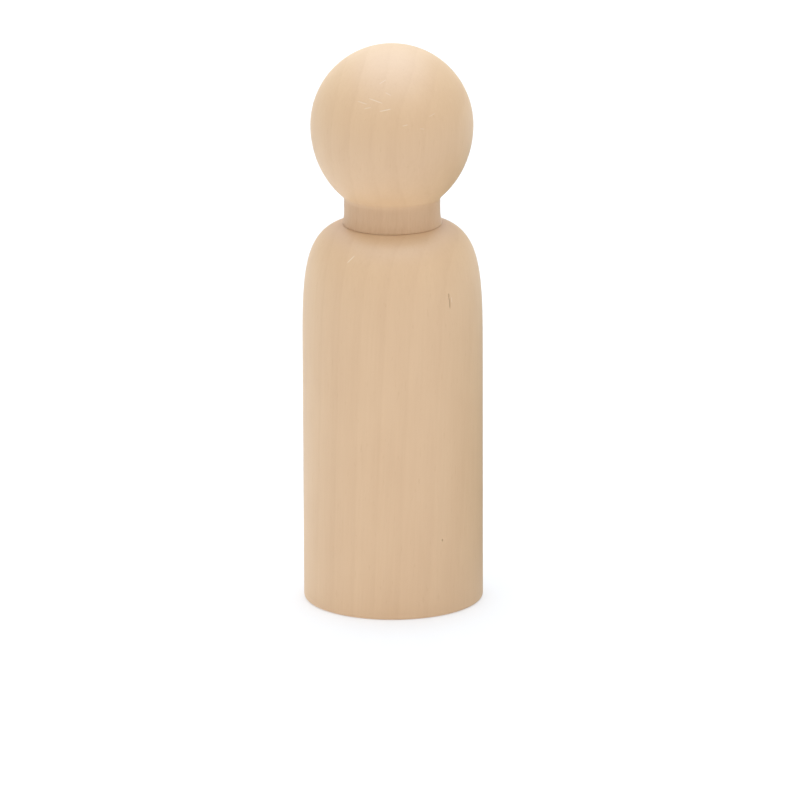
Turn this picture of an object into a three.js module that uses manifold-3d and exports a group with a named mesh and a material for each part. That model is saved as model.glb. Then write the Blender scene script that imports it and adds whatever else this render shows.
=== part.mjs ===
// A turned wooden peg doll: a straight barrel body with soft shoulders, and a ball head on a short neck.
// Head and body are separate turnings. A dowel pin is glued into the head and turns in a socket in the body.
// Sizes are millimetres, +Z is up, and the origin is the centre of the foot.

import * as THREE from "three";
import { mergeVertices } from "three/addons/utils/BufferGeometryUtils.js";
import Module from "manifold-3d";

// Body
const BODY_DIAMETER = 28.6;
const BARREL_HEIGHT = 41; // straight side, from the foot to the start of the shoulder
const SHOULDER_HEIGHT = 20.2; // from there to the flat seat under the neck
const SHOULDER_SIDE_FULLNESS = 0.6; // share of its height that the shoulder rises before it turns in
const SHOULDER_TOP_FULLNESS = 0.96; // share of its width that the shoulder runs out before it turns down
const SHOULDER_FALL = 1.2; // drop of the shoulder's upper handle below the seat
const FOOT_EDGE_RADIUS = 0.6;

// Neck and head
const NECK_FOOT_DIAMETER = 15.7;
const NECK_FLARE_HEIGHT = 2.4; // the neck widens to its foot over this height
const NECK_DIAMETER = 15.2;
const NECK_STRAIGHT_HEIGHT = 1.7; // from the flare to the underside of the head
const HEAD_DIAMETER = 25.7;
const HEAD_LOWER_RISE = 14.3; // upright half axis of the ellipse under the head's widest point
const HEAD_UPPER_RISE = 12.87; // the same above it, up to the crown

// Dowel pin
const DOWEL_DIAMETER = 8;
const DOWEL_IN_BODY = 15; // length that stands in the body's socket
const DOWEL_IN_HEAD = 14.7; // length that is glued into the head
const DOWEL_CHAMFER = 0.8;
const FLUTE_COUNT = 12; // glue grooves along the glued end
const FLUTE_DEPTH = 0.35;

// Clearances
const TURNING_CLEARANCE = 0.15; // pin to socket, on the radius
const GLUE_CLEARANCE = 0.1; // pin to the head's bore, on the radius
const PIN_END_CLEARANCE = 0.5; // pin end to the bottom of its hole
const NECK_GAP = 0.3; // hairline between the neck and its seat

// Fineness of the round surfaces
const TURNED_SIDES = 64;
const PIN_SIDES = 48;
const CURVE_STEPS = 9; // steps along each curve of an outline, and twice as many along an arc
const FLUTE_SIDES = 4; // a square rod, one edge inwards, cuts a V-shaped groove

const BARE_WOOD = { color: 0xdcbd9a, roughness: 0.6, metalness: 0 };
const PIN_WOOD = { color: 0xd2a878, roughness: 0.7, metalness: 0 };

const bodyRadius = BODY_DIAMETER / 2;
const bodyHeight = BARREL_HEIGHT + SHOULDER_HEIGHT;
const headRadius = HEAD_DIAMETER / 2;
const neckRadius = NECK_DIAMETER / 2;
const neckHeight = NECK_FLARE_HEIGHT + NECK_STRAIGHT_HEIGHT;
const neckFootRadius = NECK_FOOT_DIAMETER / 2;
const pinRadius = DOWEL_DIAMETER / 2;
const pinLength = DOWEL_IN_BODY + NECK_GAP + DOWEL_IN_HEAD;

const wasm = await Module();
wasm.setup();

// An outline of (radius, height) points, turned about +Z.
function turned(outline, sides) {
  return new THREE.LatheGeometry(outline, sides).rotateX(Math.PI / 2);
}

function toSolid(geometry) {
  const bare = geometry.clone().deleteAttribute("normal").deleteAttribute("uv");
  const merged = mergeVertices(bare);
  return new wasm.Manifold(
    new wasm.Mesh({
      numProp: 3,
      vertProperties: merged.getAttribute("position").array,
      triVerts: new Uint32Array(merged.index.array),
    }),
  );
}

function toGeometry(solid) {
  const { vertProperties, triVerts } = solid.getMesh();
  const geometry = new THREE.BufferGeometry();
  geometry.setAttribute("position", new THREE.BufferAttribute(vertProperties, 3));
  geometry.setIndex(new THREE.BufferAttribute(triVerts, 1));
  geometry.computeVertexNormals();
  return geometry;
}

// Foot, side, shoulder and seat, then down into the socket for the pin.
function bodyGeometry() {
  const socketRadius = pinRadius + TURNING_CLEARANCE;
  const socketFloor = bodyHeight - DOWEL_IN_BODY - PIN_END_CLEARANCE;
  const shoulderWidth = bodyRadius - neckFootRadius;
  const footFlatRadius = bodyRadius - FOOT_EDGE_RADIUS;
  const outline = new THREE.Path()
    .moveTo(0, 0)
    .lineTo(footFlatRadius, 0)
    .absarc(footFlatRadius, FOOT_EDGE_RADIUS, FOOT_EDGE_RADIUS, -Math.PI / 2, 0)
    .lineTo(bodyRadius, BARREL_HEIGHT)
    .bezierCurveTo(
      bodyRadius,
      BARREL_HEIGHT + SHOULDER_SIDE_FULLNESS * SHOULDER_HEIGHT,
      neckFootRadius + SHOULDER_TOP_FULLNESS * shoulderWidth,
      bodyHeight - SHOULDER_FALL,
      neckFootRadius,
      bodyHeight,
    )
    .lineTo(socketRadius, bodyHeight)
    .lineTo(socketRadius, socketFloor)
    .lineTo(0, socketFloor);
  return turned(outline.getPoints(CURVE_STEPS), TURNED_SIDES);
}

// From the top of the pin's bore out to the neck's foot, which is z = 0, then up the neck and over the head.
function headGeometry() {
  const boreRadius = pinRadius + GLUE_CLEARANCE;
  const boreTop = DOWEL_IN_HEAD + PIN_END_CLEARANCE;
  const neckAngle = Math.acos(neckRadius / headRadius); // where the head's lower ellipse meets the neck
  const widestHeight = neckHeight + HEAD_LOWER_RISE * Math.sin(neckAngle);
  const outline = new THREE.Path()
    .moveTo(0, boreTop)
    .lineTo(boreRadius, boreTop)
    .lineTo(boreRadius, 0)
    .lineTo(neckFootRadius, 0)
    .quadraticCurveTo(neckRadius, NECK_FLARE_HEIGHT / 2, neckRadius, NECK_FLARE_HEIGHT)
    .lineTo(neckRadius, neckHeight)
    .absellipse(0, widestHeight, headRadius, HEAD_LOWER_RISE, -neckAngle, 0)
    .absellipse(0, widestHeight, headRadius, HEAD_UPPER_RISE, 0, Math.PI / 2);
  return turned(outline.getPoints(CURVE_STEPS), TURNED_SIDES);
}

// A chamfered pin, standing on z = 0, with glue grooves along its upper end.
function dowelGeometry() {
  const outline = new THREE.Path()
    .moveTo(0, 0)
    .lineTo(pinRadius - DOWEL_CHAMFER, 0)
    .lineTo(pinRadius, DOWEL_CHAMFER)
    .lineTo(pinRadius, pinLength - DOWEL_CHAMFER)
    .lineTo(pinRadius - DOWEL_CHAMFER, pinLength)
    .lineTo(0, pinLength);
  let pin = toSolid(turned(outline.getPoints(), PIN_SIDES));
  for (let i = 0; i < FLUTE_COUNT; i += 1) {
    const flute = new THREE.CylinderGeometry(FLUTE_DEPTH, FLUTE_DEPTH, DOWEL_IN_HEAD, FLUTE_SIDES)
      .rotateX(Math.PI / 2)
      .translate(pinRadius, 0, pinLength - DOWEL_IN_HEAD / 2)
      .rotateZ((2 * Math.PI * i) / FLUTE_COUNT);
    pin = pin.subtract(toSolid(flute));
  }
  return toGeometry(pin);
}

function piece(name, geometry, finish) {
  const mesh = new THREE.Mesh(geometry, new THREE.MeshStandardMaterial(finish));
  mesh.name = name;
  return mesh;
}

const body = piece("body", bodyGeometry(), BARE_WOOD);
const head = piece("head", headGeometry(), BARE_WOOD);
const dowel = piece("neck_dowel", dowelGeometry(), PIN_WOOD);

// The head and its pin turn together, so they share a group that stands over the body's seat.
const turningHead = new THREE.Group();
turningHead.position.z = bodyHeight + NECK_GAP;
dowel.position.z = DOWEL_IN_HEAD - pinLength;
turningHead.add(head, dowel);

const doll = new THREE.Group();
doll.add(body, turningHead);

export default doll;
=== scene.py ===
"""Dresses a turned wooden peg doll for its photograph, around the CAD frame of the same doll.

The body and the head are spun again at a finer step than the frame's solids, with the eased edges and the
small blemishes of a sanded turning, and both are cut from one block of procedural wood. Lengths are in
metres, and names that end in _mm, _deg or _px say their own unit.
"""

import logging
import math
from collections.abc import Mapping
from dataclasses import dataclass, field
from enum import Enum
from typing import Any

import bmesh
import bpy
from mathutils import Color, Matrix, Quaternion, Vector, geometry, noise

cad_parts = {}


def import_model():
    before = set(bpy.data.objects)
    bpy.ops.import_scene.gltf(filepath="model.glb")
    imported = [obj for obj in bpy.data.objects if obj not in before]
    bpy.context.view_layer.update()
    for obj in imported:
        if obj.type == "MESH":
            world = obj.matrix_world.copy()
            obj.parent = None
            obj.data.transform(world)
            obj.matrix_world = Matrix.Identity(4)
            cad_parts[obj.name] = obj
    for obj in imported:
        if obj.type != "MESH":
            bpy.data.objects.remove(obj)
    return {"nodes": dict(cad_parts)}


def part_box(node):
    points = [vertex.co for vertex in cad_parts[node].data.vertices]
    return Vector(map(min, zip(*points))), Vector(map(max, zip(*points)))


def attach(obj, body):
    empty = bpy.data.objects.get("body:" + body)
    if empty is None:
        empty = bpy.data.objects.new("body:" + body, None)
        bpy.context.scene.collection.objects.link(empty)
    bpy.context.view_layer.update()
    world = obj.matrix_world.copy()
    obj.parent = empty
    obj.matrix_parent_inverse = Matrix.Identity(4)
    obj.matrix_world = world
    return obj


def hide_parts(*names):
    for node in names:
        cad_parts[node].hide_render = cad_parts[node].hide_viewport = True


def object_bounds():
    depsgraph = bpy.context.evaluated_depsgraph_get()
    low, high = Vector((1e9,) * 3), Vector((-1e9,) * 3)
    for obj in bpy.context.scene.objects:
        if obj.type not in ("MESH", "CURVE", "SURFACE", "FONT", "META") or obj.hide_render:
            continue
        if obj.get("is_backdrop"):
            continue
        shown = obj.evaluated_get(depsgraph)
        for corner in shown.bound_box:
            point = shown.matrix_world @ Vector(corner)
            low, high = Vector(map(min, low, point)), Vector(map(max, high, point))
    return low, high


LOG = logging.getLogger("peg_doll")
MM = 0.001
MARK_LAYER = "mark"
# Layer of the neck's torn grain and of painted shade towards the seam.
TORN_AND_SHADE_LAYER = "torn_and_shade"
WELD_DISTANCE = 1e-7
SPLIT_WIDTH = 0.2 * MM
SPLIT_DEPTH = 0.15 * MM
SCUFF_WIDTH = 0.18 * MM
SCUFF_DEPTH = 0.02 * MM


def linear(hex_colour: str) -> tuple[float, float, float, float]:
    """Turns an sRGB colour into the linear one that shaders read.

    Args:
        hex_colour: six hex digits.

    Returns:
        Linear red, green and blue, with an alpha of 1.
    """
    channels = [byte / 255 for byte in bytes.fromhex(hex_colour)]
    return (*Color(channels).from_srgb_to_scene_linear(), 1.0)


def add_node(
    tree: bpy.types.NodeTree,
    kind: str,
    inputs: Mapping[str | int, Any] | None = None,
    **settings: Any,
) -> bpy.types.Node:
    """Adds a shader node with its settings, values and links.

    Args:
        tree: node tree that gets the node.
        kind: Blender's type name of the node.
        inputs: value or linked socket for each input, by the input's name or place.
        settings: the node's own properties.

    Returns:
        The new node.
    """
    node = tree.nodes.new(kind)
    for name, value in settings.items():
        setattr(node, name, value)
    for key, value in (inputs or {}).items():
        if isinstance(value, bpy.types.NodeSocket):
            tree.links.new(value, node.inputs[key])
        else:
            node.inputs[key].default_value = value
    return node


class MixSocket(Enum):
    """Places of the colour sockets on a Mix node, which has several of the same name."""

    FACTOR = 0
    FIRST = 6
    SECOND = 7
    RESULT = 2


class Blemish(Enum):
    """What a mark does to the wood's colour: an open split is dark, and scuffed fibres are pale."""

    SPLIT = -1.0
    SCUFF = 1.0


@dataclass(frozen=True)
class GrainLayer:
    """One scale of the wood's figure, as a noise stretched to the size of one fibre, pore or scratch.

    Attributes:
        size_mm: size of one feature across the grain, twice, and along it.
        window: lowest and highest noise value that the layer uses.
        span: what those two values become.
        tone: how much the layer darkens the wood.
        relief_mm: how far it stands out of the surface.
        tilt_deg: turn of the layer about the view's depth, for scratches that cross.
        worn_only: whether the layer shows only where the tool has torn the wood.
    """

    size_mm: tuple[float, float, float]
    window: tuple[float, float] = (0.3, 0.7)
    span: tuple[float, float] = (-0.5, 0.5)
    tone: float = 0.0
    relief_mm: float = 0.0
    tilt_deg: float = 0.0
    worn_only: bool = False


@dataclass(frozen=True)
class SandedHardwood:
    """Pale diffuse-porous hardwood, turned and sanded bare.

    It gives the eye an even, matt, warm surface: faint growth rings that run down it as leaning bands,
    fine fibres and short pores along the grain, sanding scratches round it, and darker end grain.

    Attributes:
        name: the material's name.
        pale: colour of early wood, sRGB.
        dark: colour of late wood and pores, sRGB.
        split: colour inside an open split, sRGB.
        scuff: colour of scuffed fibres, sRGB.
        pith_mm: where the tree's centre lies, off the doll's axis.
        ring_mm: width of one year's growth.
        lean_deg: lean of the fibres towards +X.
        mean_tone: tone of the plain wood, from pale to dark.
        ring_tone: how much late wood darkens.
        ring_spread: share by which that differs from year to year.
        ring_wander: how far the rings wander, in rings.
        wander_scale: scale of the noise that they wander by, in which one ring is the unit.
        late_end: share of a ring at which its late wood starts to give way to the next ring.
        end_grain_tone: how much end grain darkens.
        torn_and_shade_tone: how much torn wood darkens, together with the painted shade on the neck towards
            its seam.
        layers: the figure, coarse to fine.
        roughness: lowest and highest roughness.
        ior: index of refraction.
        gloss: strength of the surface's reflection, where 0.5 is the plain one for that index.
        matt: roughness of the diffuse light.
    """

    name: str = "sanded_pale_hardwood"
    pale: str = "F1CFA4"
    dark: str = "BE8957"
    split: str = "6E4A2E"
    scuff: str = "FAEBD6"
    pith_mm: tuple[float, float, float] = (-30.0, 0.0, 45.0)
    ring_mm: float = 3.7
    lean_deg: float = 2.4
    mean_tone: float = 0.3
    ring_tone: float = 0.045
    ring_spread: float = 0.5
    ring_wander: float = 0.5
    wander_scale: float = 0.45
    late_end: float = 0.88
    end_grain_tone: float = 0.03
    # Darkening by torn grain and by painted shade on the neck, both darker towards the seam.
    torn_and_shade_tone: float = 0.14
    layers: tuple[GrainLayer, ...] = (
        # Broad bands, and streaks along the grain.
        GrainLayer(size_mm=(7.0, 7.0, 16.0), tone=0.06),
        GrainLayer(size_mm=(1.1, 1.1, 40.0), tone=0.022),
        # Fibres, pores and torn fibres. Real ones are under 0.1 mm wide, and these are coarser, to show.
        GrainLayer(size_mm=(0.35, 0.35, 9.0), tone=0.035, relief_mm=0.002),
        GrainLayer(
            size_mm=(0.3, 0.3, 1.8),
            window=(0.64, 0.74),
            span=(0.0, 1.0),
            tone=0.07,
            relief_mm=-0.006,
        ),
        GrainLayer(size_mm=(0.25, 0.25, 2.2), tone=0.09, relief_mm=0.01, worn_only=True),
        # Scratches of sandpaper with a grit of 0.08 mm, also drawn coarser, to show.
        GrainLayer(size_mm=(3.0, 3.0, 0.12), relief_mm=0.0015, tilt_deg=6.0),
        GrainLayer(size_mm=(2.5, 2.5, 0.16), relief_mm=0.0015, tilt_deg=-8.0),
    )
    roughness: tuple[float, float] = (0.46, 0.62)
    ior: float = 1.5
    gloss: float = 0.75
    matt: float = 0.6

    def build(self) -> bpy.types.Material:
        """Makes the material.

        Returns:
            The material, which reads Object coordinates and the marks on the mesh.
        """
        material = bpy.data.materials.new(self.name)
        material.use_nodes = True
        tree = material.node_tree
        tree.nodes.clear()
        place = add_node(tree, "ShaderNodeTexCoord").outputs["Object"]
        block = add_node(
            tree, "ShaderNodeVectorMath", {0: place, "Scale": 1 / MM}, operation="SCALE"
        ).outputs[0]
        fibres = add_node(
            tree,
            "ShaderNodeVectorRotate",
            {"Vector": block, "Center": self.pith_mm, "Angle": -math.radians(self.lean_deg)},
            rotation_type="Y_AXIS",
        ).outputs[0]
        tone = self.ring_darkness(tree, fibres)
        tone, relief = self.figure(tree, fibres, tone)
        tone = self.end_grain(tree, tone)
        colour = self.colour(tree, tone)
        bump = add_node(tree, "ShaderNodeBump", {"Height": relief, "Distance": MM})
        rough = add_node(
            tree,
            "ShaderNodeMapRange",
            {"Value": tone, "To Min": self.roughness[0], "To Max": self.roughness[1]},
        )
        shader = add_node(
            tree,
            "ShaderNodeBsdfPrincipled",
            {
                "Base Color": colour,
                "Roughness": rough.outputs[0],
                "IOR": self.ior,
                "Specular IOR Level": self.gloss,
                "Diffuse Roughness": self.matt,
                "Normal": bump.outputs[0],
            },
        )
        add_node(tree, "ShaderNodeOutputMaterial", {"Surface": shader.outputs[0]})
        return material

    def ring_darkness(
        self,
        tree: bpy.types.NodeTree,
        fibres: bpy.types.NodeSocket,
    ) -> bpy.types.NodeSocket:
        """Draws the growth rings: wood that darkens slowly to each ring's edge and stops short there.

        Args:
            tree: the material's nodes.
            fibres: coordinates along the fibres, in millimetres.

        Returns:
            The wood's mean tone with the rings' darkness on it.
        """
        radial = add_node(
            tree,
            "ShaderNodeVectorMath",
            {0: fibres, 1: (1 / self.ring_mm, 1 / self.ring_mm, 0), 2: self.ring_centre()},
            operation="MULTIPLY_ADD",
        ).outputs[0]
        wander = add_node(
            tree, "ShaderNodeTexNoise", {"Vector": radial, "Scale": self.wander_scale, "Detail": 1.0}
        ).outputs[0]
        radius = add_node(tree, "ShaderNodeVectorMath", {0: radial}, operation="LENGTH").outputs["Value"]
        years = add_node(
            tree, "ShaderNodeMath", {0: wander, 1: self.ring_wander, 2: radius}, operation="MULTIPLY_ADD"
        ).outputs[0]
        season = add_node(tree, "ShaderNodeMath", {0: years}, operation="FRACT").outputs[0]
        year = add_node(tree, "ShaderNodeMath", {0: years}, operation="FLOOR").outputs[0]
        growth = add_node(tree, "ShaderNodeTexWhiteNoise", {"W": year}, noise_dimensions="1D").outputs[0]
        rise = add_node(tree, "ShaderNodeMath", {0: season, 1: 2.0}, operation="POWER").outputs[0]
        fall = add_node(
            tree,
            "ShaderNodeMapRange",
            {"Value": season, "From Min": self.late_end, "From Max": 1.0, "To Min": 1.0, "To Max": 0.0},
            interpolation_type="SMOOTHSTEP",
        ).outputs[0]
        late = add_node(tree, "ShaderNodeMath", {0: rise, 1: fall}, operation="MULTIPLY").outputs[0]
        uneven = add_node(
            tree,
            "ShaderNodeMapRange",
            {
                "Value": growth,
                "To Min": (1 - self.ring_spread) * self.ring_tone,
                "To Max": (1 + self.ring_spread) * self.ring_tone,
            },
        ).outputs[0]
        return add_node(
            tree, "ShaderNodeMath", {0: late, 1: uneven, 2: self.mean_tone}, operation="MULTIPLY_ADD"
        ).outputs[0]

    def ring_centre(self) -> tuple[float, float, float]:
        """Gives the shift, in rings, that puts the pith at the centre of the ring pattern."""
        return (-self.pith_mm[0] / self.ring_mm, -self.pith_mm[1] / self.ring_mm, 0.0)

    def figure(
        self,
        tree: bpy.types.NodeTree,
        fibres: bpy.types.NodeSocket,
        tone: bpy.types.NodeSocket,
    ) -> tuple[bpy.types.NodeSocket, bpy.types.NodeSocket]:
        """Lays the figure's layers over the rings.

        Args:
            tree: the material's nodes.
            fibres: coordinates along the fibres, in millimetres.
            tone: the tone that the layers add to.

        Returns:
            The tone with all layers on it, and the surface's relief in millimetres.
        """
        # The layer holds torn grain on the neck and painted shade that deepens towards the seam.
        torn_and_shade = add_node(tree, "ShaderNodeAttribute", attribute_name=TORN_AND_SHADE_LAYER).outputs["Fac"]
        tone = add_node(
            tree, "ShaderNodeMath", {0: torn_and_shade, 1: self.torn_and_shade_tone, 2: tone}, operation="MULTIPLY_ADD"
        ).outputs[0]
        relief: bpy.types.NodeSocket | float = 0.0
        for layer in self.layers:
            stretch = tuple(1 / size for size in layer.size_mm)
            cells = add_node(
                tree,
                "ShaderNodeMapping",
                {"Vector": fibres, "Rotation": (0, math.radians(layer.tilt_deg), 0)},
            ).outputs[0]
            cells = add_node(
                tree, "ShaderNodeVectorMath", {0: cells, 1: stretch}, operation="MULTIPLY"
            ).outputs[0]
            grain = add_node(
                tree, "ShaderNodeTexNoise", {"Vector": cells, "Scale": 1.0, "Detail": 2.0}
            ).outputs[0]
            value = add_node(
                tree,
                "ShaderNodeMapRange",
                {
                    "Value": grain,
                    "From Min": layer.window[0],
                    "From Max": layer.window[1],
                    "To Min": layer.span[0],
                    "To Max": layer.span[1],
                },
            ).outputs[0]
            if layer.worn_only:
                worn = {0: value, 1: torn_and_shade}
                value = add_node(tree, "ShaderNodeMath", worn, operation="MULTIPLY").outputs[0]
            if layer.tone:
                tone = add_node(
                    tree, "ShaderNodeMath", {0: value, 1: layer.tone, 2: tone}, operation="MULTIPLY_ADD"
                ).outputs[0]
            if layer.relief_mm:
                relief = add_node(
                    tree,
                    "ShaderNodeMath",
                    {0: value, 1: layer.relief_mm, 2: relief},
                    operation="MULTIPLY_ADD",
                ).outputs[0]
        return tone, relief

    def end_grain(self, tree: bpy.types.NodeTree, tone: bpy.types.NodeSocket) -> bpy.types.NodeSocket:
        """Darkens the wood where the fibres end in the surface.

        Args:
            tree: the material's nodes.
            tone: the tone along the grain.

        Returns:
            The tone with end grain on it.
        """
        normal = add_node(tree, "ShaderNodeNewGeometry").outputs["Normal"]
        upright = add_node(tree, "ShaderNodeSeparateXYZ", {0: normal}).outputs["Z"]
        across = add_node(tree, "ShaderNodeMath", {0: upright, 1: 2.0}, operation="POWER").outputs[0]
        return add_node(
            tree, "ShaderNodeMath", {0: across, 1: self.end_grain_tone, 2: tone}, operation="MULTIPLY_ADD"
        ).outputs[0]

    def colour(self, tree: bpy.types.NodeTree, tone: bpy.types.NodeSocket) -> bpy.types.NodeSocket:
        """Colours the wood by its tone, and the marks over it.

        Args:
            tree: the material's nodes.
            tone: 0 for pale early wood, 1 for the darkest late wood.

        Returns:
            The colour.
        """
        mark = add_node(tree, "ShaderNodeAttribute", attribute_name=MARK_LAYER).outputs["Fac"]
        shares = {
            kind: add_node(
                tree, "ShaderNodeMath", {0: mark, 1: kind.value}, operation="MULTIPLY", use_clamp=True
            ).outputs[0]
            for kind in Blemish
        }
        colour: Any = linear(self.pale)
        for factor, second in (
            (tone, self.dark),
            (shares[Blemish.SPLIT], self.split),
            (shares[Blemish.SCUFF], self.scuff),
        ):
            colour = add_node(
                tree,
                "ShaderNodeMix",
                {
                    MixSocket.FACTOR.value: factor,
                    MixSocket.FIRST.value: colour,
                    MixSocket.SECOND.value: linear(second),
                },
                data_type="RGBA",
            ).outputs[MixSocket.RESULT.value]
        return colour


@dataclass(frozen=True)
class Mark:
    """A short straight mark in the surface of a turning.

    Attributes:
        kind: split or scuff.
        bearing_deg: way round the doll, from the front towards +X.
        height: height of the mark's middle.
        length: length of the mark.
        lean_deg: lean of the mark from upright, towards +X.
        width: width of the mark.
        depth: depth of the mark.
        tint: how far the mark takes on its kind's colour.
    """

    kind: Blemish
    bearing_deg: float
    height: float
    length: float
    lean_deg: float
    width: float
    depth: float
    tint: float

    def across_and_along(self, point: Vector) -> tuple[float, float]:
        """Measures a point from the mark's middle, on the unrolled surface.

        Args:
            point: a point on the surface.

        Returns:
            Distance across the mark and along it.
        """
        radius = math.hypot(point.x, point.y)
        aside = (math.atan2(point.x, -point.y) - math.radians(self.bearing_deg)) * radius
        above = point.z - self.height
        lean = math.radians(self.lean_deg)
        return (
            aside * math.cos(lean) - above * math.sin(lean),
            aside * math.sin(lean) + above * math.cos(lean),
        )

    def strength(self, point: Vector) -> float:
        """Gives how deep the mark is at a point.

        Args:
            point: a point on the surface.

        Returns:
            A share of the depth, from 0 outside the mark to 1 in its middle.
        """
        across, along = self.across_and_along(point)
        side = max(0.0, 1 - (2 * across / self.width) ** 2)
        return side * max(0.0, 1 - (2 * along / self.length) ** 4)

    def covers(self, face: bmesh.types.BMFace, margin: float) -> bool:
        """Tells whether a face has to be refined for the mark.

        Args:
            face: a face of the turning.
            margin: how far round the mark the faces are refined.

        Returns:
            Whether the face looks outwards and lies under the mark or within the margin.
        """
        middle = face.calc_center_median()
        if face.normal.dot(Vector((middle.x, middle.y, 0))) <= 0:
            return False
        across, along = self.across_and_along(middle)
        return abs(across) < self.width / 2 + margin and abs(along) < self.length / 2 + margin


@dataclass
class Outline:
    """Half the section of a turning, drawn in the XZ plane as a turner's template is.

    Attributes:
        points: the outline so far.
    """

    points: list[Vector] = field(default_factory=list)

    def line_to(self, radius: float, height: float) -> "Outline":
        """Draws a straight stretch, or sets the first point, and gives the outline back."""
        self.points.append(Vector((radius, 0, height)))
        return self

    def curve_to(
        self,
        handle: tuple[float, float],
        end_handle: tuple[float, float],
        end: tuple[float, float],
        steps: int,
    ) -> "Outline":
        """Draws a Bezier curve.

        Args:
            handle: radius and height of the first handle.
            end_handle: radius and height of the second handle.
            end: radius and height of the curve's end.
            steps: how many stretches the curve has.

        Returns:
            The outline.
        """
        corners = [Vector((radius, 0, height)) for radius, height in (handle, end_handle, end)]
        self.points += geometry.interpolate_bezier(self.points[-1], *corners, steps + 1)[1:]
        return self

    def arc_to(
        self,
        middle: float,
        radius: float,
        rise: float,
        start: float,
        end: float,
        steps: int,
    ) -> "Outline":
        """Draws part of an upright ellipse about the turning's axis.

        Args:
            middle: height of the ellipse's middle.
            radius: its half width.
            rise: its half height.
            start: angle above the level where the arc starts.
            end: angle where it ends.
            steps: how many stretches the arc has.

        Returns:
            The outline.
        """
        for step in range(1, steps + 1):
            angle = start + (end - start) * step / steps
            self.line_to(radius * math.cos(angle), middle + rise * math.sin(angle))
        return self


@dataclass(frozen=True)
class EasedEdge:
    """A sharp ring of a turning that gets rounded.

    Attributes:
        radius: radius of the ring.
        height: height of the ring.
        ease: how far the rounding reaches from the ring.
        segments: steps across the rounding.
    """

    radius: float
    height: float
    ease: float
    segments: int = 3

    def bevel(self, mesh: bmesh.types.BMesh) -> None:
        """Rounds the ring.

        Args:
            mesh: the turning's mesh.
        """
        near = 1e-6
        ring = {
            vert
            for vert in mesh.verts
            if abs(vert.co.xy.length - self.radius) < near and abs(vert.co.z - self.height) < near
        }
        edges = [edge for edge in mesh.edges if ring.issuperset(edge.verts)]
        bmesh.ops.bevel(
            mesh,
            geom=edges,
            offset=self.ease,
            affect="EDGES",
            segments=self.segments,
            profile=0.5,
            material=-1,
        )


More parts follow.
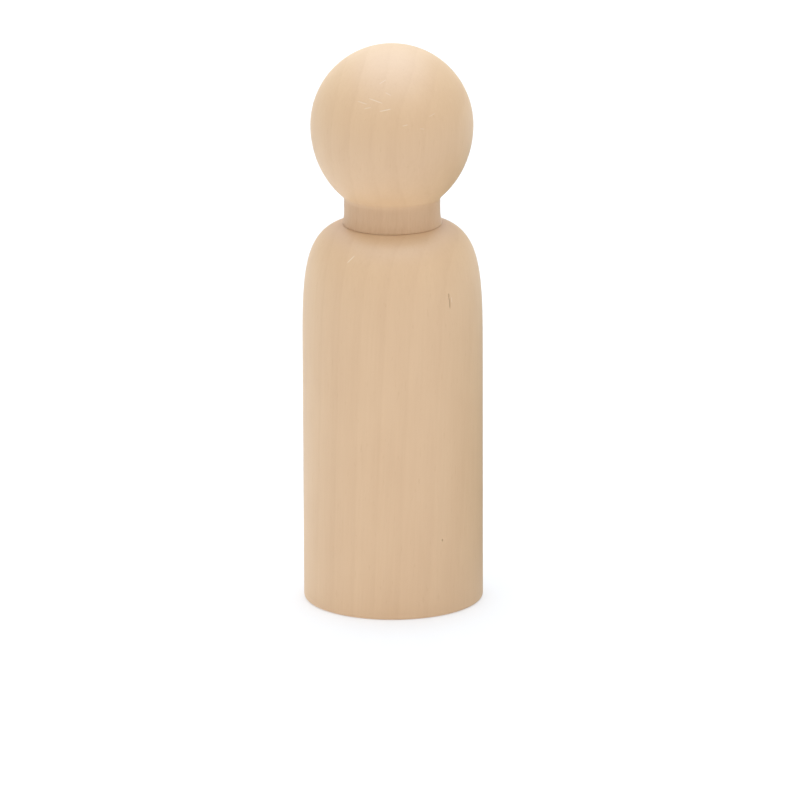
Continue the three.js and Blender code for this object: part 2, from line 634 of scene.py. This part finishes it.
@dataclass
class Turning:
    """A round piece of wood, from its outline to a finished object.

    Attributes:
        node: CAD node that the piece stands for.
        rides_on: CAD body that it moves with.
        slot: name of a material slot, which is not used.
        marks: blemishes in its surface.
        sides: steps round it.
        row: longest stretch of the outline between two rings of vertices.
        wave: how far sanding has left the surface out of round.
        wave_length: size of one such hollow.
        crease_deg: angle between two faces from which their edge is shaded sharp.
        mark_margin: how far round a mark the faces are refined.
        mark_cuts: how often each edge is cut there.
    """

    node: str
    rides_on: str
    slot: str
    marks: tuple[Mark, ...] = ()
    sides: int = 256
    row: float = 0.5 * MM
    wave: float = 0.012 * MM
    wave_length: float = 7 * MM
    crease_deg: float = 35.0
    mark_margin: float = 0.3 * MM
    mark_cuts: int = 6

    def outline(self) -> Outline:
        """Gives the turning's half section."""
        raise NotImplementedError

    def edges(self) -> tuple[EasedEdge, ...]:
        """Gives the rings that are rounded."""
        raise NotImplementedError

    def build(self, name: str) -> bpy.types.Object:
        """Spins the outline and finishes the surface.

        Args:
            name: name of the piece.

        Returns:
            The piece, which stands for its CAD node and rides on its body.
        """
        mesh = bmesh.new()
        points = [mesh.verts.new(point) for point in self.outline().points]
        for pair in zip(points, points[1:]):
            mesh.edges.new(pair)
        for edge in list(mesh.edges):
            bmesh.ops.subdivide_edges(mesh, edges=[edge], cuts=int(edge.calc_length() / self.row))
        bmesh.ops.spin(
            mesh,
            geom=[*mesh.verts, *mesh.edges],
            cent=(0, 0, 0),
            axis=(0, 0, 1),
            angle=math.tau,
            steps=self.sides,
            use_merge=True,
        )
        bmesh.ops.remove_doubles(mesh, verts=mesh.verts, dist=WELD_DISTANCE)
        bmesh.ops.recalc_face_normals(mesh, faces=mesh.faces)
        for edge in self.edges():
            edge.bevel(mesh)
        self.leave_sanding_waves(mesh)
        self.press_marks(mesh)
        self.mark_torn_grain_and_shade(mesh)
        return self.finish(name, mesh)

    def press_marks(self, mesh: bmesh.types.BMesh) -> None:
        """Refines the faces under the marks, all at once, and presses the marks into them.

        Args:
            mesh: the turning's mesh, which gets a layer that holds the marks' colour.
        """
        layer = mesh.verts.layers.float.new(MARK_LAYER)
        edges = dict.fromkeys(
            edge
            for face in mesh.faces
            if any(mark.covers(face, self.mark_margin) for mark in self.marks)
            for edge in face.edges
        )
        cut = bmesh.ops.subdivide_edges(mesh, edges=list(edges), cuts=self.mark_cuts, use_grid_fill=True)
        mesh.normal_update()
        for vert in dict.fromkeys(item for item in cut["geom"] if isinstance(item, bmesh.types.BMVert)):
            pressed = [(mark, mark.strength(vert.co)) for mark in self.marks]
            vert.co -= vert.normal * sum(mark.depth * strength for mark, strength in pressed)
            vert[layer] = sum(mark.kind.value * mark.tint * strength for mark, strength in pressed)

    def mark_torn_grain_and_shade(self, mesh: bmesh.types.BMesh) -> None:
        """Notes where the tool has torn the wood and where shade is painted, which is nowhere on a piece
        that is sanded all over.
        """
        mesh.verts.layers.float.new(TORN_AND_SHADE_LAYER)

    def leave_sanding_waves(self, mesh: bmesh.types.BMesh) -> None:
        """Moves the surface in and out a little, so that it isn't perfectly round.

        Args:
            mesh: the turning's mesh.
        """
        share = self.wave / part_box(self.node)[1].x
        for vert in mesh.verts:
            vert.co.xy *= 1 + share * noise.noise(vert.co / self.wave_length)

    def finish(self, name: str, mesh: bmesh.types.BMesh) -> bpy.types.Object:
        """Turns the mesh into a piece of the doll.

        Args:
            name: name of the piece.
            mesh: the finished mesh, which is freed.

        Returns:
            The piece.
        """
        data = bpy.data.meshes.new(name)
        mesh.to_mesh(data)
        mesh.free()
        data.shade_smooth()
        data.set_sharp_from_angle(angle=math.radians(self.crease_deg))
        piece = bpy.data.objects.new(name, data)
        bpy.context.scene.collection.objects.link(piece)
        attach(piece, self.rides_on)
        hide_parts(self.node)
        return piece

    def dress(self, piece: bpy.types.Object, wood: bpy.types.Material) -> None:
        """Gives the piece its wood."""
        piece.data.materials.append(wood)
        LOG.info("%s: %d faces, %s", piece.name, len(piece.data.polygons), wood.name)


@dataclass
class TurnedBody(Turning):
    """The body: a straight barrel with soft shoulders, a flat foot, and a socket in its seat for the pin.

    Attributes:
        barrel: height of the straight side.
        seat_radius: radius of the flat seat.
        side_fullness: share of its height that the shoulder rises before it turns in.
        top_fullness: share of its width that the shoulder runs out before it turns down.
        shoulder_fall: drop of the shoulder's upper handle below the seat.
        foot_ease: rounding of the foot's edge.
        seat_ease: rounding of the seat's edge.
        socket_radius: radius of the socket.
        socket_depth: depth of the socket at its wall.
        drill_point: how much deeper the drill's point has gone.
        foot_segments: steps across the rounding of the foot.
        curve_steps: steps along the shoulder.
    """

    node: str = "body"
    rides_on: str = "body"
    slot: str = "body_wood"
    barrel: float = 41 * MM
    seat_radius: float = 7.85 * MM
    side_fullness: float = 0.6
    top_fullness: float = 0.96
    shoulder_fall: float = 1.2 * MM
    foot_ease: float = 0.4 * MM
    seat_ease: float = 0.06 * MM
    socket_radius: float = 4.15 * MM
    socket_depth: float = 15.5 * MM
    drill_point: float = 0.8 * MM
    foot_segments: int = 6
    curve_steps: int = 60

    def outline(self) -> Outline:
        """Draws the foot, side, shoulder and seat, then goes down into the socket.

        Returns:
            The half section.
        """
        radius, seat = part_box(self.node)[1].xz
        width = radius - self.seat_radius
        floor = seat - self.socket_depth
        return (
            Outline()
            .line_to(0, 0)
            .line_to(radius, 0)
            .line_to(radius, self.barrel)
            .curve_to(
                (radius, self.barrel + self.side_fullness * (seat - self.barrel)),
                (self.seat_radius + self.top_fullness * width, seat - self.shoulder_fall),
                (self.seat_radius, seat),
                self.curve_steps,
            )
            .line_to(self.socket_radius, seat)
            .line_to(self.socket_radius, floor)
            .line_to(0, floor - self.drill_point)
        )

    def edges(self) -> tuple[EasedEdge, ...]:
        """Picks the edges that a turner eases with sandpaper.

        Returns:
            The foot's edge, the seat's edge and the socket's mouth.
        """
        radius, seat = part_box(self.node)[1].xz
        return (
            EasedEdge(radius, 0, self.foot_ease, self.foot_segments),
            EasedEdge(self.seat_radius, seat, self.seat_ease),
            EasedEdge(self.socket_radius, seat, self.seat_ease),
        )


@dataclass
class TurnedHead(Turning):
    """The head: a ball on a short neck that widens a little to its foot, with a bore for the pin.

    Attributes:
        neck_radius: radius of the neck at its waist.
        neck_foot_radius: radius of the neck's foot.
        flare: height over which the neck widens to its foot.
        neck_straight: height from there to the underside of the ball.
        lower_rise: half height of the ellipse under the ball's widest point.
        neck_drop: how far the neck stands into the frame's gap, so that only a hairline is left.
        foot_ease: rounding of the neck's foot.
        chin_ease: rounding of the crease between neck and ball.
        bore_radius: radius of the bore.
        bore_depth: depth of the bore, from the frame's neck foot.
        chin_falloff: how much less the neck is darkened under the ball than at its foot, by torn grain and
            by painted shade that deepens towards the seam.
        chin_fade: share of the neck's height over which its torn grain and painted shade fade out under the
            ball.
        arc_steps: steps along each half of the ball.
        flare_steps: steps along the neck's flare.
    """

    node: str = "head"
    rides_on: str = "head"
    slot: str = "head_wood"
    neck_radius: float = 7.6 * MM
    neck_foot_radius: float = 7.85 * MM
    flare: float = 2.4 * MM
    neck_straight: float = 1.7 * MM
    lower_rise: float = 14.3 * MM
    neck_drop: float = 0.26 * MM
    foot_ease: float = 0.05 * MM
    chin_ease: float = 0.45 * MM
    bore_radius: float = 4.1 * MM
    bore_depth: float = 15.2 * MM
    chin_falloff: float = 0.5
    chin_fade: float = 0.2
    arc_steps: int = 60
    flare_steps: int = 8

    def outline(self) -> Outline:
        """Draws the bore, the neck's foot and side, and the ball up to its crown.

        Returns:
            The half section.
        """
        low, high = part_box(self.node)
        ball_radius = high.x
        foot = low.z - self.neck_drop
        waist = low.z + self.flare
        chin = waist + self.neck_straight
        chin_angle = math.acos(self.neck_radius / ball_radius)
        widest = chin + self.lower_rise * math.sin(chin_angle)
        handle = (self.neck_radius, (foot + waist) / 2)
        return (
            Outline()
            .line_to(0, low.z + self.bore_depth)
            .line_to(self.bore_radius, low.z + self.bore_depth)
            .line_to(self.bore_radius, foot)
            .line_to(self.neck_foot_radius, foot)
            .curve_to(handle, handle, (self.neck_radius, waist), self.flare_steps)
            .line_to(self.neck_radius, chin)
            .arc_to(widest, ball_radius, self.lower_rise, -chin_angle, 0, self.arc_steps)
            .arc_to(widest, ball_radius, high.z - widest, 0, math.pi / 2, self.arc_steps)
        )

    def edges(self) -> tuple[EasedEdge, ...]:
        """Picks the edges and the crease that sanding rounds.

        Returns:
            The neck's foot, the mouth of the bore and the crease under the ball.
        """
        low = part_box(self.node)[0]
        foot = low.z - self.neck_drop
        return (
            EasedEdge(self.neck_foot_radius, foot, self.foot_ease),
            EasedEdge(self.bore_radius, foot, self.foot_ease),
            EasedEdge(self.neck_radius, low.z + self.flare + self.neck_straight, self.chin_ease),
        )

    def mark_torn_grain_and_shade(self, mesh: bmesh.types.BMesh) -> None:
        """Tears the neck, which is too narrow to sand well, and most of all at its foot, and paints shade
        on it that deepens towards the seam there.

        Args:
            mesh: the turning's mesh, which gets a layer that holds the torn grain and the painted shade.
        """
        super().mark_torn_grain_and_shade(mesh)
        layer = mesh.verts.layers.float[TORN_AND_SHADE_LAYER]
        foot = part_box(self.node)[0].z
        height = self.flare + self.neck_straight
        for vert in mesh.verts:
            rise = (vert.co.z - foot) / height
            fade = min(1.0, max(0.0, (1 - rise) / self.chin_fade))
            # Strongest at the neck's foot: torn grain, and painted shade that deepens towards the seam.
            vert[layer] = (1 - self.chin_falloff * rise) * fade


@dataclass(frozen=True)
class Softbox:
    """A square studio light that faces the doll.

    Attributes:
        name: the light's name.
        bearing_deg: way round the doll, from the front towards +X.
        elevation_deg: height above the level.
        distance: distance from the doll's middle.
        side: length of the light's side.
        level: how bright its face is, where 1 is white.
        tint: colour of the light, sRGB.
    """

    name: str
    bearing_deg: float
    elevation_deg: float
    distance: float
    side: float
    level: float
    tint: str = "FFFFFF"

    def build(self, aim: Vector) -> None:
        """Hangs the light and turns it to the doll's middle.

        Args:
            aim: the doll's middle.
        """
        bearing, rise = math.radians(self.bearing_deg), math.radians(self.elevation_deg)
        level = Vector((math.sin(bearing), -math.cos(bearing), 0))
        away = level * math.cos(rise) + Vector((0, 0, math.sin(rise)))
        light = bpy.data.lights.new(self.name, "AREA")
        light.size = self.side
        light.color = linear(self.tint)[:3]
        light.energy = self.level * math.pi * self.side**2
        lamp = bpy.data.objects.new(self.name, light)
        turn = away.to_track_quat("Z", "Y").to_matrix().to_4x4()
        lamp.matrix_world = Matrix.Translation(aim + away * self.distance) @ turn
        lamp.visible_camera = False
        bpy.context.scene.collection.objects.link(lamp)
        LOG.info("%s: level %.2f", lamp.name, self.level)


@dataclass(frozen=True)
class Studio:
    """A light table in a white room with one dark corner.

    The table lights the doll from below as a white sweep does, and shows plain white with the doll's
    shadow on it. The dark corner, and a dark patch on the table before it, take light off the right edge of
    the body. The camera doesn't see either.

    Attributes:
        table_radius: radius of the table top.
        table_sides: sides of the table top.
        table_drop: how far the table lies under the foot, so that the two faces don't fight.
        table_colour: colour of the table as it lights the doll, sRGB.
        table_glow: brightness of the table's own light.
        shown_colour: colour of the table as the camera sees it, sRGB.
        shown_glow: brightness of its own light as the camera sees it near the doll.
        clear_edge: distances from the doll between which that light grows to plain white.
        room_level: brightness of the room round the doll.
        patch_place: middle of the dark patch on the table, behind the doll and to its right.
        patch_reach: distances from that middle between which the patch fades out.
        patch_dark: how much of the table's light is missing in the patch.
        dark_way: direction of the room's dark corner.
        dark_reach_deg: angles from that direction between which the dark fades out.
        dark_room: how much of the room's light is missing there.
        softboxes: the lights.
    """

    table_radius: float = 3.0
    table_sides: int = 96
    table_drop: float = 0.05 * MM
    table_colour: str = "F0F0F0"
    table_glow: float = 0.29
    shown_colour: str = "C2BCB6"
    shown_glow: float = 0.42
    clear_edge: tuple[float, float] = (0.3, 1.0)
    room_level: float = 0.4
    patch_place: tuple[float, float, float] = (0.085, 0.075, 0.0)
    patch_reach: tuple[float, float] = (0.05, 0.14)
    patch_dark: float = 1.0
    dark_way: tuple[float, float, float] = (0.65, 0.76, 0.0)
    dark_reach_deg: tuple[float, float] = (30.0, 55.0)
    dark_room: float = 0.4
    softboxes: tuple[Softbox, ...] = (
        Softbox("top_softbox", 0, 90, distance=0.9, side=1.2, level=3.05, tint="D6EAFF"),
        Softbox("back_softbox", 180, 50, distance=1.0, side=0.9, level=1.45, tint="D6EAFF"),
        Softbox("front_softbox", 25, 15, distance=1.5, side=1.5, level=0.2),
    )

    def build(self, aim: Vector) -> None:
        """Sets up the table, hangs the lights and lights the room.

        Args:
            aim: the doll's middle.
        """
        self.set_table()
        self.light_room()
        for softbox in self.softboxes:
            softbox.build(aim)

    def shown_rays(self, tree: bpy.types.NodeTree) -> bpy.types.NodeSocket:
        """Tells the rays that show the background from those that light the doll.

        Args:
            tree: node tree of the table or the room.

        Returns:
            1 for a ray that comes from the camera, by gloss or through glass, and 0 for any other.
        """
        path = add_node(tree, "ShaderNodeLightPath").outputs
        shown = path["Is Camera Ray"]
        for kind in ("Is Glossy Ray", "Is Transmission Ray"):
            either = {0: shown, 1: path[kind]}
            shown = add_node(tree, "ShaderNodeMath", either, operation="MAXIMUM").outputs[0]
        return shown

    def light_left(self, tree: bpy.types.NodeTree, dark: bpy.types.NodeSocket) -> bpy.types.NodeSocket:
        """Gives the share of light that the dark leaves, which for the camera is all of it.

        Args:
            tree: node tree of the table or the room.
            dark: how dark the table or the room is here.

        Returns:
            The share.
        """
        share = add_node(tree, "ShaderNodeMath", {0: 1.0, 1: dark}, operation="SUBTRACT").outputs[0]
        camera = add_node(tree, "ShaderNodeLightPath").outputs["Is Camera Ray"]
        return add_node(tree, "ShaderNodeMath", {0: share, 1: camera}, operation="MAXIMUM").outputs[0]

    def set_table(self) -> None:
        """Makes the table top, a wide disc that keeps the doll's shadow."""
        mesh = bmesh.new()
        bmesh.ops.create_circle(mesh, cap_ends=True, segments=self.table_sides, radius=self.table_radius)
        bmesh.ops.translate(mesh, verts=mesh.verts, vec=(0, 0, -self.table_drop))
        data = bpy.data.meshes.new("light_table")
        mesh.to_mesh(data)
        mesh.free()
        table = bpy.data.objects.new("light_table", data)
        bpy.context.scene.collection.objects.link(table)
        table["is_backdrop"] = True
        data.materials.append(self.table_paper())

    def table_paper(self) -> bpy.types.Material:
        """Makes the table's glowing white paper.

        Returns:
            The paper's material.
        """
        material = bpy.data.materials.new("glowing_white_paper")
        material.use_nodes = True
        tree = material.node_tree
        tree.nodes.clear()
        shown = self.shown_rays(tree)
        place = add_node(tree, "ShaderNodeTexCoord").outputs["Object"]
        distance = add_node(tree, "ShaderNodeVectorMath", {0: place}, operation="LENGTH").outputs["Value"]
        from_patch = {0: place, 1: self.patch_place}
        away = add_node(tree, "ShaderNodeVectorMath", from_patch, operation="DISTANCE")
        dark = add_node(
            tree,
            "ShaderNodeMapRange",
            {
                "Value": away.outputs["Value"],
                "From Min": self.patch_reach[0],
                "From Max": self.patch_reach[1],
                "To Min": self.patch_dark,
                "To Max": 0.0,
            },
            interpolation_type="SMOOTHSTEP",
        ).outputs[0]
        left = self.light_left(tree, dark)
        colour = add_node(
            tree,
            "ShaderNodeMix",
            {
                MixSocket.FACTOR.value: shown,
                MixSocket.FIRST.value: linear(self.table_colour),
                MixSocket.SECOND.value: linear(self.shown_colour),
            },
            data_type="RGBA",
        ).outputs[MixSocket.RESULT.value]
        colour = add_node(
            tree, "ShaderNodeVectorMath", {0: colour, "Scale": left}, operation="SCALE"
        ).outputs[0]
        shown_glow = add_node(
            tree,
            "ShaderNodeMapRange",
            {
                "Value": distance,
                "From Min": self.clear_edge[0],
                "From Max": self.clear_edge[1],
                "To Min": self.shown_glow,
                "To Max": 1.0,
            },
        ).outputs[0]
        glow = add_node(
            tree, "ShaderNodeMapRange", {"Value": shown, "To Min": self.table_glow, "To Max": shown_glow}
        ).outputs[0]
        glow = add_node(tree, "ShaderNodeMath", {0: glow, 1: left}, operation="MULTIPLY").outputs[0]
        paper = add_node(tree, "ShaderNodeBsdfDiffuse", {"Color": colour}).outputs[0]
        white = {"Color": linear("FFFFFF"), "Strength": glow}
        light = add_node(tree, "ShaderNodeEmission", white).outputs[0]
        both = add_node(tree, "ShaderNodeAddShader", {0: paper, 1: light}).outputs[0]
        add_node(tree, "ShaderNodeOutputMaterial", {"Surface": both})
        return material

    def light_room(self) -> None:
        """Lights the room, and shows it white to the camera."""
        world = bpy.data.worlds.new("white_room")
        world.use_nodes = True
        tree = world.node_tree
        tree.nodes.clear()
        shown = self.shown_rays(tree)
        level = add_node(
            tree, "ShaderNodeMapRange", {"Value": shown, "To Min": self.room_level, "To Max": 1.0}
        ).outputs[0]
        way = add_node(tree, "ShaderNodeTexCoord").outputs["Generated"]
        axis = Vector(self.dark_way).normalized()
        full, gone = (math.cos(math.radians(reach)) for reach in self.dark_reach_deg)
        facing = add_node(tree, "ShaderNodeVectorMath", {0: way, 1: axis}, operation="DOT_PRODUCT")
        dark = add_node(
            tree,
            "ShaderNodeMapRange",
            {
                "Value": facing.outputs["Value"],
                "From Min": gone,
                "From Max": full,
                "To Max": self.dark_room,
            },
            interpolation_type="SMOOTHSTEP",
        ).outputs[0]
        left = self.light_left(tree, dark)
        level = add_node(tree, "ShaderNodeMath", {0: level, 1: left}, operation="MULTIPLY").outputs[0]
        room = add_node(tree, "ShaderNodeBackground", {"Color": linear("FFFFFF"), "Strength": level})
        add_node(tree, "ShaderNodeOutputWorld", {"Surface": room.outputs[0]})
        bpy.context.scene.world = world


@dataclass(frozen=True)
class PhotoCamera:
    """The photograph's viewpoint, as the doll's rims and edges give it.

    Attributes:
        elevation_deg: height of the camera above the level.
        distance: distance from the doll's middle.
        px_per_mm: scale of the picture at the doll's middle.
        frame_px: side of the picture.
        middle_px: where the doll's middle lies in the picture, from its left and top.
        roll_deg: turn of the camera about its view.
        sensor_mm: width of the sensor.
    """

    elevation_deg: float = 15.0
    distance: float = 1.2277
    px_per_mm: float = 6.311
    frame_px: float = 800.0
    middle_px: tuple[float, float] = (392.87, 322.12)
    roll_deg: float = -0.19
    sensor_mm: float = 36.0

    def build(self, middle: Vector) -> bpy.types.Object:
        """Sets up the scene's camera.

        Args:
            middle: the doll's middle.

        Returns:
            The camera.
        """
        rise = math.radians(self.elevation_deg)
        back = Vector((0, -math.cos(rise), math.sin(rise)))
        right = Vector((1, 0, 0))
        up = back.cross(right)
        px = MM / self.px_per_mm
        aside = (self.frame_px / 2 - self.middle_px[0]) * px
        above = (self.middle_px[1] - self.frame_px / 2) * px
        location = middle + back * self.distance
        view = middle + right * aside + up * above - location
        turn = view.to_track_quat("-Z", "Y") @ Quaternion((0, 0, 1), math.radians(self.roll_deg))
        data = bpy.data.cameras.new("photo_camera")
        data.sensor_width = self.sensor_mm
        data.lens = self.sensor_mm * self.px_per_mm * self.distance / MM / self.frame_px
        camera = bpy.data.objects.new("photo_camera", data)
        camera.matrix_world = Matrix.Translation(location) @ turn.to_matrix().to_4x4()
        bpy.context.scene.collection.objects.link(camera)
        bpy.context.scene.camera = camera
        LOG.info("%s: lens %.1f mm", camera.name, data.lens)
        return camera


def split(
    bearing_deg: float,
    height_mm: float,
    length_mm: float,
    lean_deg: float,
    tint: float,
) -> Mark:
    """Makes a drying split, a fine dark line along the grain.

    Args:
        bearing_deg: way round the doll, from the front towards +X.
        height_mm: height of its middle.
        length_mm: its length.
        lean_deg: its lean from upright.
        tint: how dark it is.

    Returns:
        The mark.
    """
    return Mark(
        Blemish.SPLIT, bearing_deg, height_mm * MM, length_mm * MM, lean_deg, SPLIT_WIDTH, SPLIT_DEPTH, tint
    )


def scuff(
    bearing_deg: float,
    height_mm: float,
    length_mm: float,
    lean_deg: float,
    tint: float,
) -> Mark:
    """Makes a scuff, a fine pale scratch.

    Args:
        bearing_deg: way round the doll, from the front towards +X.
        height_mm: height of its middle.
        length_mm: its length.
        lean_deg: its lean from upright.
        tint: how pale it is.

    Returns:
        The mark.
    """
    return Mark(
        Blemish.SCUFF, bearing_deg, height_mm * MM, length_mm * MM, lean_deg, SCUFF_WIDTH, SCUFF_DEPTH, tint
    )


BODY_MARKS = (
    split(39.4, 52.0, 1.1, 1, 0.35),
    split(39.9, 50.9, 1.7, 2, 0.45),
    scuff(41.6, 51.4, 0.9, 0, 0.4),
    split(32.8, 12.5, 0.45, 10, 0.5),
    scuff(-31.9, 58.0, 1.6, 40, 0.6),
)
HEAD_MARKS = (
    scuff(-5.0, 82.3, 1.9, 78, 0.5),
    scuff(-13.0, 83.6, 2.4, 105, 0.4),
    scuff(-24.0, 83.2, 1.8, 100, 0.35),
    scuff(-19.0, 82.5, 1.2, 75, 0.3),
    scuff(9.5, 80.0, 0.9, 80, 0.35),
    scuff(-9.0, 86.2, 1.2, 60, 0.22),
    scuff(-3.0, 84.6, 1.0, 115, 0.25),
    scuff(31.0, 81.2, 1.3, 70, 0.22),
    scuff(22.0, 79.3, 0.8, 100, 0.22),
)


DOWEL_WOOD = SandedHardwood(name="dowel_hardwood", pale="E9C795", dark="B98754", lean_deg=0.0)


def main() -> None:
    """Builds the camera, the studio and the doll."""
    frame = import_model()
    cad_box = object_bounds()
    logging.basicConfig(level=logging.INFO, format="%(message)s")
    middle = (cad_box[0] + cad_box[1]) / 2
    bpy.context.scene.view_settings.view_transform = "Standard"
    PhotoCamera().build(middle)
    Studio().build(middle)
    wood = SandedHardwood().build()
    turnings = {"turned_body": TurnedBody(marks=BODY_MARKS), "turned_head": TurnedHead(marks=HEAD_MARKS)}
    for name, turning in turnings.items():
        turning.dress(turning.build(name), wood)
    pin = frame["nodes"]["neck_dowel"]
    pin.data.materials.clear()
    pin.data.materials.append(DOWEL_WOOD.build())
    LOG.info("%s: %d faces, %s", pin.name, len(pin.data.polygons), DOWEL_WOOD.name)


if __name__ == "__main__":
    main()
